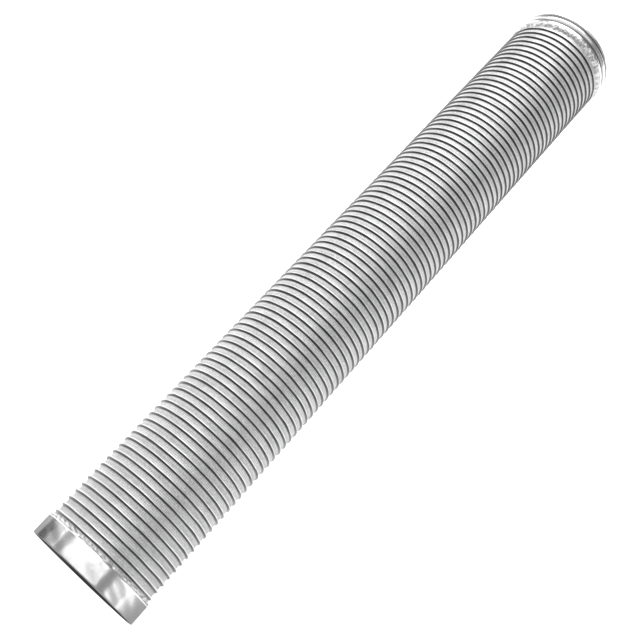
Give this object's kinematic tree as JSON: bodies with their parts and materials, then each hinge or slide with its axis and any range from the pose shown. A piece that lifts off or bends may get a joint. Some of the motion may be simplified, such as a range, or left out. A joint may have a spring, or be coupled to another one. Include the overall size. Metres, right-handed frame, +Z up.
{
  "type": "metal bellows expansion joint",
  "caption": "Long straight bellows tube with narrow outward crests and flat lands, a plain weld cuff at one end and a cuff with rolled beads at the other; it bends, offsets and changes length.",
  "frame": {"origin": "centre of the near cuff's open end face, on the tube's axis", "axes": "+X along the tube from the near cuff to the far cuff, +Z up with the tube lying level, +Y completes the right-handed set"},
  "size_m": [0.75, 0.1146, 0.1146],
  "materials": {
    "bellows_sheet": "thin stainless sheet, satin with a fine woven grain on the lands and bright crests",
    "polished_cuff": "polished stainless",
    "weld_metal": "rippled weld metal, unground"
  },
  "bodies": {
    "near_end": {"near_cuff": "polished_cuff", "near_weld": "weld_metal", "bellows_segment_01": "bellows_sheet"},
    "segment_02": {"bellows_segment_02": "bellows_sheet"},
    "segment_03": {"bellows_segment_03": "bellows_sheet"},
    "segment_04": {"bellows_segment_04": "bellows_sheet"},
    "segment_05": {"bellows_segment_05": "bellows_sheet"},
    "segment_06": {"bellows_segment_06": "bellows_sheet"},
    "segment_07": {"bellows_segment_07": "bellows_sheet"},
    "segment_08": {"bellows_segment_08": "bellows_sheet"},
    "segment_09": {"bellows_segment_09": "bellows_sheet"},
    "segment_10": {"bellows_segment_10": "bellows_sheet"},
    "segment_11": {"bellows_segment_11": "bellows_sheet"},
    "segment_12": {"bellows_segment_12": "bellows_sheet"},
    "segment_13": {"bellows_segment_13": "bellows_sheet"},
    "segment_14": {"bellows_segment_14": "bellows_sheet"},
    "segment_15": {"bellows_segment_15": "bellows_sheet"},
    "segment_16": {"bellows_segment_16": "bellows_sheet"},
    "segment_17": {"bellows_segment_17": "bellows_sheet"},
    "segment_18": {"bellows_segment_18": "bellows_sheet"},
    "segment_19": {"bellows_segment_19": "bellows_sheet"},
    "segment_20": {"bellows_segment_20": "bellows_sheet"},
    "segment_21": {"bellows_segment_21": "bellows_sheet"},
    "segment_22": {"bellows_segment_22": "bellows_sheet"},
    "segment_23": {"bellows_segment_23": "bellows_sheet"},
    "segment_24": {"bellows_segment_24": "bellows_sheet"},
    "segment_25": {"bellows_segment_25": "bellows_sheet"},
    "segment_26": {"bellows_segment_26": "bellows_sheet"},
    "segment_27": {"bellows_segment_27": "bellows_sheet"},
    "segment_28": {"bellows_segment_28": "bellows_sheet"},
    "segment_29": {"bellows_segment_29": "bellows_sheet"},
    "segment_30": {"bellows_segment_30": "bellows_sheet"},
    "segment_31": {"bellows_segment_31": "bellows_sheet"},
    "segment_32": {"bellows_segment_32": "bellows_sheet"},
    "segment_33": {"bellows_segment_33": "bellows_sheet"},
    "segment_34": {"bellows_segment_34": "bellows_sheet"},
    "segment_35": {"bellows_segment_35": "bellows_sheet"},
    "segment_36": {"bellows_segment_36": "bellows_sheet"},
    "segment_37": {"bellows_segment_37": "bellows_sheet"},
    "segment_38": {"bellows_segment_38": "bellows_sheet"},
    "segment_39": {"bellows_segment_39": "bellows_sheet"},
    "segment_40": {"bellows_segment_40": "bellows_sheet"},
    "segment_41": {"bellows_segment_41": "bellows_sheet"},
    "segment_42": {"bellows_segment_42": "bellows_sheet"},
    "segment_43": {"bellows_segment_43": "bellows_sheet"},
    "segment_44": {"bellows_segment_44": "bellows_sheet"},
    "segment_45": {"bellows_segment_45": "bellows_sheet"},
    "far_end": {"bellows_segment_46": "bellows_sheet", "far_weld": "weld_metal", "far_cuff": "polished_cuff"}
  },
  "joints": [
    {"name": "near_half_vertical_bend", "type": "hinge", "parent": "near_end", "child": "segment_02", "pos_m": [0.03699, 0, 0], "axis": [0, 1, 0], "range_deg": [-1.05, 1.05], "stiffness_Nm_per_rad": 2000},
    {"name": "near_half_sideways_bend", "type": "hinge", "parent": "segment_02", "child": "segment_03", "pos_m": [0.05231, 0, 0], "axis": [0, 0, 1], "range_deg": [-1.2, 1.2], "stiffness_Nm_per_rad": 2000},
    {"name": "axial_travel", "type": "slide", "parent": "segment_03", "child": "segment_04", "axis": [1, 0, 0], "range_m": [-0.001, 0.001], "stiffness_N_per_m": 40000},
    {"name": "near_half_vertical_bend_02", "type": "hinge", "parent": "segment_04", "child": "segment_05", "pos_m": [0.08295, 0, 0], "axis": [0, 1, 0], "range_deg": [-1.05, 1.05], "stiffness_Nm_per_rad": 2000},
    {"name": "near_half_sideways_bend_02", "type": "hinge", "parent": "segment_05", "child": "segment_06", "pos_m": [0.09826, 0, 0], "axis": [0, 0, 1], "range_deg": [-1.2, 1.2], "stiffness_Nm_per_rad": 2000},
    {"name": "axial_travel_02", "type": "slide", "parent": "segment_06", "child": "segment_07", "axis": [1, 0, 0], "range_m": [-0.001, 0.001], "stiffness_N_per_m": 40000},
    {"name": "near_half_vertical_bend_03", "type": "hinge", "parent": "segment_07", "child": "segment_08", "pos_m": [0.1289, 0, 0], "axis": [0, 1, 0], "range_deg": [-1.05, 1.05], "stiffness_Nm_per_rad": 2000},
    {"name": "near_half_sideways_bend_03", "type": "hinge", "parent": "segment_08", "child": "segment_09", "pos_m": [0.14422, 0, 0], "axis": [0, 0, 1], "range_deg": [-1.2, 1.2], "stiffness_Nm_per_rad": 2000},
    {"name": "axial_travel_03", "type": "slide", "parent": "segment_09", "child": "segment_10", "axis": [1, 0, 0], "range_m": [-0.001, 0.001], "stiffness_N_per_m": 40000},
    {"name": "near_half_vertical_bend_04", "type": "hinge", "parent": "segment_10", "child": "segment_11", "pos_m": [0.17486, 0, 0], "axis": [0, 1, 0], "range_deg": [-1.05, 1.05], "stiffness_Nm_per_rad": 2000},
    {"name": "near_half_sideways_bend_04", "type": "hinge", "parent": "segment_11", "child": "segment_12", "pos_m": [0.19018, 0, 0], "axis": [0, 0, 1], "range_deg": [-1.2, 1.2], "stiffness_Nm_per_rad": 2000},
    {"name": "axial_travel_04", "type": "slide", "parent": "segment_12", "child": "segment_13", "axis": [1, 0, 0], "range_m": [-0.001, 0.001], "stiffness_N_per_m": 40000},
    {"name": "near_half_vertical_bend_05", "type": "hinge", "parent": "segment_13", "child": "segment_14", "pos_m": [0.22081, 0, 0], "axis": [0, 1, 0], "range_deg": [-1.05, 1.05], "stiffness_Nm_per_rad": 2000},
    {"name": "near_half_sideways_bend_05", "type": "hinge", "parent": "segment_14", "child": "segment_15", "pos_m": [0.23613, 0, 0], "axis": [0, 0, 1], "range_deg": [-1.2, 1.2], "stiffness_Nm_per_rad": 2000},
    {"name": "axial_travel_05", "type": "slide", "parent": "segment_15", "child": "segment_16", "axis": [1, 0, 0], "range_m": [-0.001, 0.001], "stiffness_N_per_m": 40000},
    {"name": "near_half_vertical_bend_06", "type": "hinge", "parent": "segment_16", "child": "segment_17", "pos_m": [0.26677, 0, 0], "axis": [0, 1, 0], "range_deg": [-1.05, 1.05], "stiffness_Nm_per_rad": 2000},
    {"name": "near_half_sideways_bend_06", "type": "hinge", "parent": "segment_17", "child": "segment_18", "pos_m": [0.28209, 0, 0], "axis": [0, 0, 1], "range_deg": [-1.2, 1.2], "stiffness_Nm_per_rad": 2000},
    {"name": "axial_travel_06", "type": "slide", "parent": "segment_18", "child": "segment_19", "axis": [1, 0, 0], "range_m": [-0.001, 0.001], "stiffness_N_per_m": 40000},
    {"name": "near_half_vertical_bend_07", "type": "hinge", "parent": "segment_19", "child": "segment_20", "pos_m": [0.31273, 0, 0], "axis": [0, 1, 0], "range_deg": [-1.05, 1.05], "stiffness_Nm_per_rad": 2000},
    {"name": "near_half_sideways_bend_07", "type": "hinge", "parent": "segment_20", "child": "segment_21", "pos_m": [0.32804, 0, 0], "axis": [0, 0, 1], "range_deg": [-1.2, 1.2], "stiffness_Nm_per_rad": 2000},
    {"name": "axial_travel_07", "type": "slide", "parent": "segment_21", "child": "segment_22", "axis": [1, 0, 0], "range_m": [-0.001, 0.001], "stiffness_N_per_m": 40000},
    {"name": "near_half_vertical_bend_08", "type": "hinge", "parent": "segment_22", "child": "segment_23", "pos_m": [0.35868, 0, 0], "axis": [0, 1, 0], "range_deg": [-1.05, 1.05], "stiffness_Nm_per_rad": 2000},
    {"name": "axial_travel_08", "type": "slide", "parent": "segment_23", "child": "segment_24", "axis": [1, 0, 0], "range_m": [-0.001, 0.001], "stiffness_N_per_m": 40000},
    {"name": "far_half_vertical_bend", "type": "hinge", "parent": "segment_24", "child": "segment_25", "pos_m": [0.38932, 0, 0], "axis": [0, 1, 0], "range_deg": [-1.05, 1.05], "stiffness_Nm_per_rad": 2000},
    {"name": "axial_travel_09", "type": "slide", "parent": "segment_25", "child": "segment_26", "axis": [1, 0, 0], "range_m": [-0.001, 0.001], "stiffness_N_per_m": 40000},
    {"name": "far_half_sideways_bend", "type": "hinge", "parent": "segment_26", "child": "segment_27", "pos_m": [0.41996, 0, 0], "axis": [0, 0, 1], "range_deg": [-1.2, 1.2], "stiffness_Nm_per_rad": 2000},
    {"name": "far_half_vertical_bend_02", "type": "hinge", "parent": "segment_27", "child": "segment_28", "pos_m": [0.43527, 0, 0], "axis": [0, 1, 0], "range_deg": [-1.05, 1.05], "stiffness_Nm_per_rad": 2000},
    {"name": "axial_travel_10", "type": "slide", "parent": "segment_28", "child": "segment_29", "axis": [1, 0, 0], "range_m": [-0.001, 0.001], "stiffness_N_per_m": 40000},
    {"name": "far_half_sideways_bend_02", "type": "hinge", "parent": "segment_29", "child": "segment_30", "pos_m": [0.46591, 0, 0], "axis": [0, 0, 1], "range_deg": [-1.2, 1.2], "stiffness_Nm_per_rad": 2000},
    {"name": "far_half_vertical_bend_03", "type": "hinge", "parent": "segment_30", "child": "segment_31", "pos_m": [0.48123, 0, 0], "axis": [0, 1, 0], "range_deg": [-1.05, 1.05], "stiffness_Nm_per_rad": 2000},
    {"name": "axial_travel_11", "type": "slide", "parent": "segment_31", "child": "segment_32", "axis": [1, 0, 0], "range_m": [-0.001, 0.001], "stiffness_N_per_m": 40000},
    {"name": "far_half_sideways_bend_03", "type": "hinge", "parent": "segment_32", "child": "segment_33", "pos_m": [0.51187, 0, 0], "axis": [0, 0, 1], "range_deg": [-1.2, 1.2], "stiffness_Nm_per_rad": 2000},
    {"name": "far_half_vertical_bend_04", "type": "hinge", "parent": "segment_33", "child": "segment_34", "pos_m": [0.52719, 0, 0], "axis": [0, 1, 0], "range_deg": [-1.05, 1.05], "stiffness_Nm_per_rad": 2000},
    {"name": "axial_travel_12", "type": "slide", "parent": "segment_34", "child": "segment_35", "axis": [1, 0, 0], "range_m": [-0.001, 0.001], "stiffness_N_per_m": 40000},
    {"name": "far_half_sideways_bend_04", "type": "hinge", "parent": "segment_35", "child": "segment_36", "pos_m": [0.55782, 0, 0], "axis": [0, 0, 1], "range_deg": [-1.2, 1.2], "stiffness_Nm_per_rad": 2000},
    {"name": "far_half_vertical_bend_05", "type": "hinge", "parent": "segment_36", "child": "segment_37", "pos_m": [0.57314, 0, 0], "axis": [0, 1, 0], "range_deg": [-1.05, 1.05], "stiffness_Nm_per_rad": 2000},
    {"name": "axial_travel_13", "type": "slide", "parent": "segment_37", "child": "segment_38", "axis": [1, 0, 0], "range_m": [-0.001, 0.001], "stiffness_N_per_m": 40000},
    {"name": "far_half_sideways_bend_05", "type": "hinge", "parent": "segment_38", "child": "segment_39", "pos_m": [0.60378, 0, 0], "axis": [0, 0, 1], "range_deg": [-1.2, 1.2], "stiffness_Nm_per_rad": 2000},
    {"name": "far_half_vertical_bend_06", "type": "hinge", "parent": "segment_39", "child": "segment_40", "pos_m": [0.6191, 0, 0], "axis": [0, 1, 0], "range_deg": [-1.05, 1.05], "stiffness_Nm_per_rad": 2000},
    {"name": "axial_travel_14", "type": "slide", "parent": "segment_40", "child": "segment_41", "axis": [1, 0, 0], "range_m": [-0.001, 0.001], "stiffness_N_per_m": 40000},
    {"name": "far_half_sideways_bend_06", "type": "hinge", "parent": "segment_41", "child": "segment_42", "pos_m": [0.64974, 0, 0], "axis": [0, 0, 1], "range_deg": [-1.2, 1.2], "stiffness_Nm_per_rad": 2000},
    {"name": "far_half_vertical_bend_07", "type": "hinge", "parent": "segment_42", "child": "segment_43", "pos_m": [0.66505, 0, 0], "axis": [0, 1, 0], "range_deg": [-1.05, 1.05], "stiffness_Nm_per_rad": 2000},
    {"name": "axial_travel_15", "type": "slide", "parent": "segment_43", "child": "segment_44", "axis": [1, 0, 0], "range_m": [-0.001, 0.001], "stiffness_N_per_m": 40000},
    {"name": "far_half_sideways_bend_07", "type": "hinge", "parent": "segment_44", "child": "segment_45", "pos_m": [0.69569, 0, 0], "axis": [0, 0, 1], "range_deg": [-1.2, 1.2], "stiffness_Nm_per_rad": 2000},
    {"name": "far_half_vertical_bend_08", "type": "hinge", "parent": "segment_45", "child": "far_end", "pos_m": [0.71101, 0, 0], "axis": [0, 1, 0], "range_deg": [-1.05, 1.05], "stiffness_Nm_per_rad": 2000}
  ],
  "couplings": [
    {"joint": "near_half_vertical_bend_02", "follows": "near_half_vertical_bend", "ratio": 1},
    {"joint": "near_half_sideways_bend_02", "follows": "near_half_sideways_bend", "ratio": 1},
    {"joint": "axial_travel_02", "follows": "axial_travel", "ratio": 1},
    {"joint": "near_half_vertical_bend_03", "follows": "near_half_vertical_bend", "ratio": 1},
    {"joint": "near_half_sideways_bend_03", "follows": "near_half_sideways_bend", "ratio": 1},
    {"joint": "axial_travel_03", "follows": "axial_travel", "ratio": 1},
    {"joint": "near_half_vertical_bend_04", "follows": "near_half_vertical_bend", "ratio": 1},
    {"joint": "near_half_sideways_bend_04", "follows": "near_half_sideways_bend", "ratio": 1},
    {"joint": "axial_travel_04", "follows": "axial_travel", "ratio": 1},
    {"joint": "near_half_vertical_bend_05", "follows": "near_half_vertical_bend", "ratio": 1},
    {"joint": "near_half_sideways_bend_05", "follows": "near_half_sideways_bend", "ratio": 1},
    {"joint": "axial_travel_05", "follows": "axial_travel", "ratio": 1},
    {"joint": "near_half_vertical_bend_06", "follows": "near_half_vertical_bend", "ratio": 1},
    {"joint": "near_half_sideways_bend_06", "follows": "near_half_sideways_bend", "ratio": 1},
    {"joint": "axial_travel_06", "follows": "axial_travel", "ratio": 1},
    {"joint": "near_half_vertical_bend_07", "follows": "near_half_vertical_bend", "ratio": 1},
    {"joint": "near_half_sideways_bend_07", "follows": "near_half_sideways_bend", "ratio": 1},
    {"joint": "axial_travel_07", "follows": "axial_travel", "ratio": 1},
    {"joint": "near_half_vertical_bend_08", "follows": "near_half_vertical_bend", "ratio": 1},
    {"joint": "axial_travel_08", "follows": "axial_travel", "ratio": 1},
    {"joint": "axial_travel_09", "follows": "axial_travel", "ratio": 1},
    {"joint": "far_half_vertical_bend_02", "follows": "far_half_vertical_bend", "ratio": 1},
    {"joint": "axial_travel_10", "follows": "axial_travel", "ratio": 1},
    {"joint": "far_half_sideways_bend_02", "follows": "far_half_sideways_bend", "ratio": 1},
    {"joint": "far_half_vertical_bend_03", "follows": "far_half_vertical_bend", "ratio": 1},
    {"joint": "axial_travel_11", "follows": "axial_travel", "ratio": 1},
    {"joint": "far_half_sideways_bend_03", "follows": "far_half_sideways_bend", "ratio": 1},
    {"joint": "far_half_vertical_bend_04", "follows": "far_half_vertical_bend", "ratio": 1},
    {"joint": "axial_travel_12", "follows": "axial_travel", "ratio": 1},
    {"joint": "far_half_sideways_bend_04", "follows": "far_half_sideways_bend", "ratio": 1},
    {"joint": "far_half_vertical_bend_05", "follows": "far_half_vertical_bend", "ratio": 1},
    {"joint": "axial_travel_13", "follows": "axial_travel", "ratio": 1},
    {"joint": "far_half_sideways_bend_05", "follows": "far_half_sideways_bend", "ratio": 1},
    {"joint": "far_half_vertical_bend_06", "follows": "far_half_vertical_bend", "ratio": 1},
    {"joint": "axial_travel_14", "follows": "axial_travel", "ratio": 1},
    {"joint": "far_half_sideways_bend_06", "follows": "far_half_sideways_bend", "ratio": 1},
    {"joint": "far_half_vertical_bend_07", "follows": "far_half_vertical_bend", "ratio": 1},
    {"joint": "axial_travel_15", "follows": "axial_travel", "ratio": 1},
    {"joint": "far_half_sideways_bend_07", "follows": "far_half_sideways_bend", "ratio": 1},
    {"joint": "far_half_vertical_bend_08", "follows": "far_half_vertical_bend", "ratio": 1}
  ]
}
